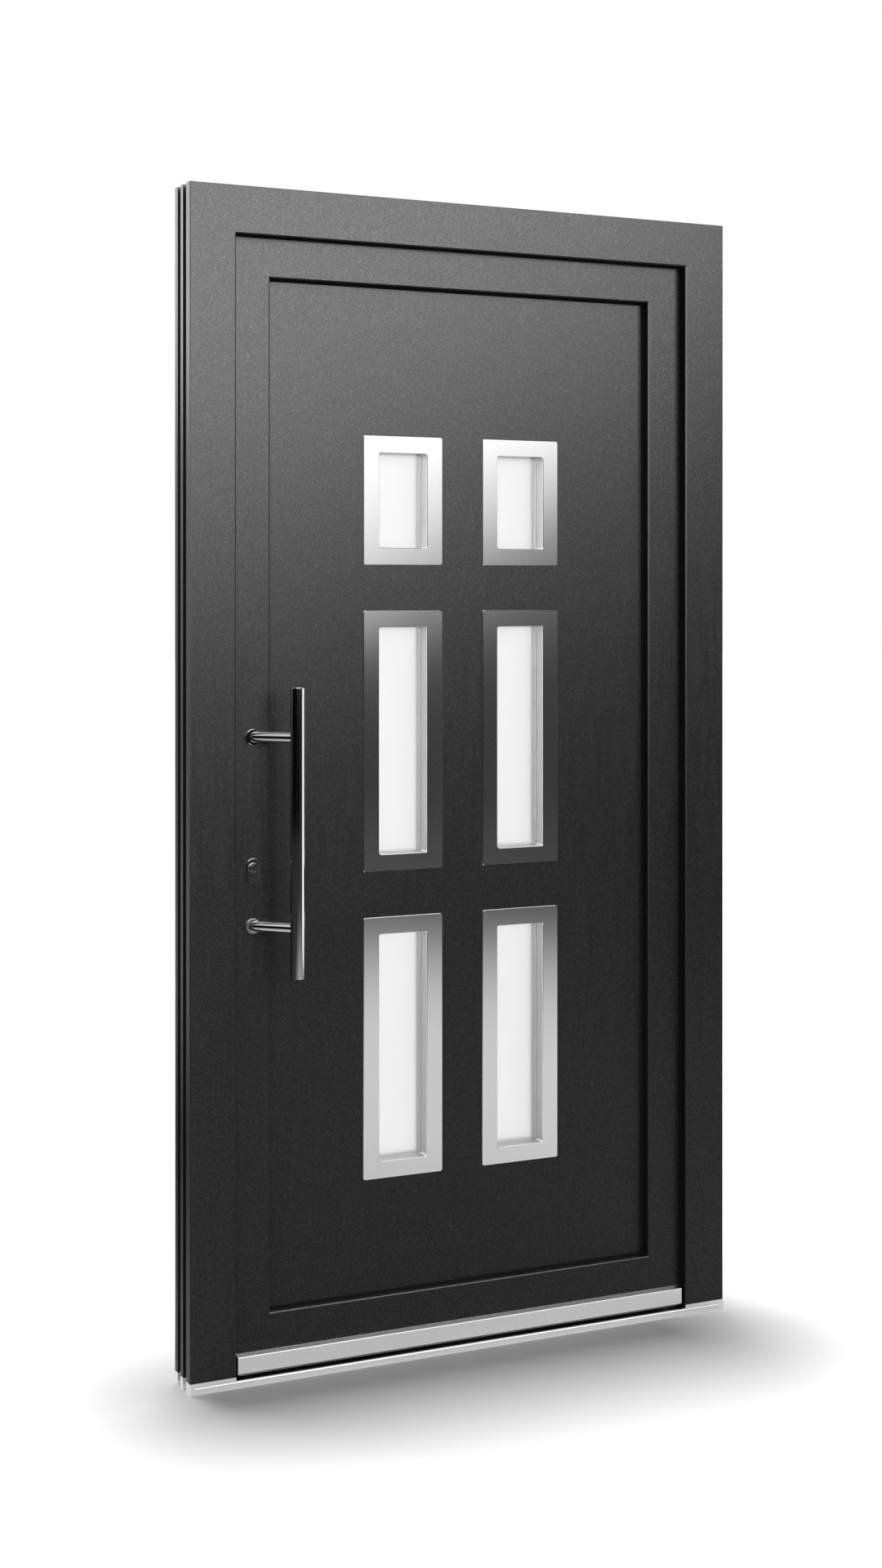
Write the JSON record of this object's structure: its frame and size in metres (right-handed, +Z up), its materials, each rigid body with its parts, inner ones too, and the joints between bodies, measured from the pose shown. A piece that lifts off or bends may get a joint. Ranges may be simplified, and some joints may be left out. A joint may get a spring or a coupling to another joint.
{
  "type": "front door with frame",
  "caption": "Foil-clad plastic front door: mitred frame, inward-opening glazed panel leaf, bar pull, weather bar and low metal threshold.",
  "frame": {"origin": "underside of the threshold, mid-way across and mid-way through the frame", "axes": "+Z up, +Y indoors, +X towards the hinge side seen from outdoors"},
  "size_m": [1.085, 0.22, 2.1],
  "materials": {
    "frame_foil": "satin embossed foil",
    "leaf_foil": "satin embossed foil",
    "panel_foil": "satin embossed foil",
    "panel_foam": "matt foam",
    "rubber_seal": "matt",
    "threshold_metal": "satin",
    "threshold_plastic": "matt",
    "weather_bar_metal": "satin",
    "trim_steel": "brushed",
    "clear_glass": "polished",
    "satin_glass": "satin",
    "spacer_metal": "satin",
    "handle_steel": "satin",
    "lock_metal": "satin",
    "hinge_metal": "satin"
  },
  "bodies": {
    "frame": {"frame_jamb_lock": "frame_foil", "frame_jamb_hinge": "frame_foil", "frame_head": "frame_foil", "frame_gasket": "rubber_seal", "threshold_outer": "threshold_metal", "threshold_break": "threshold_plastic", "threshold_inner": "threshold_metal", "threshold_end_blocks": "threshold_metal", "lock_keeps": "lock_metal", "hinge_frame_lower": "hinge_metal", "hinge_frame_middle": "hinge_metal", "hinge_frame_upper": "hinge_metal"},
    "leaf": {"leaf_stile_lock": "leaf_foil", "leaf_stile_hinge": "leaf_foil", "leaf_top_rail": "leaf_foil", "leaf_bottom_rail": "leaf_foil", "glazing_beads_sides": "leaf_foil", "glazing_beads_ends": "leaf_foil", "panel_outer_skin": "panel_foil", "panel_inner_skin": "panel_foil", "panel_core": "panel_foam", "glazing_gasket": "rubber_seal", "leaf_seals": "rubber_seal", "weather_bar": "weather_bar_metal", "window_trim_top_lock": "trim_steel", "window_trim_top_hinge": "trim_steel", "window_trim_middle_lock": "trim_steel", "window_trim_middle_hinge": "trim_steel", "window_trim_bottom_lock": "trim_steel", "window_trim_bottom_hinge": "trim_steel", "inner_trims_top": "trim_steel", "inner_trims_middle": "trim_steel", "inner_trims_bottom": "trim_steel", "glass_outer_panes": "clear_glass", "glass_inner_panes": "satin_glass", "glass_spacers": "spacer_metal", "pull_handle": "handle_steel", "pull_rosettes": "handle_steel", "escutcheon_outer": "handle_steel", "inner_handle_plate": "handle_steel", "inner_handle_lever": "handle_steel", "lock_cylinder": "lock_metal", "lock_strip": "lock_metal", "hinge_leaf_lower": "hinge_metal", "hinge_leaf_middle": "hinge_metal", "hinge_leaf_upper": "hinge_metal"}
  },
  "joints": [
    {"name": "leaf_swing", "type": "hinge", "parent": "frame", "child": "leaf", "pos_m": [0.502, 0.071, 1.05], "axis": [0, 0, -1], "range_deg": [0, 100]}
  ]
}
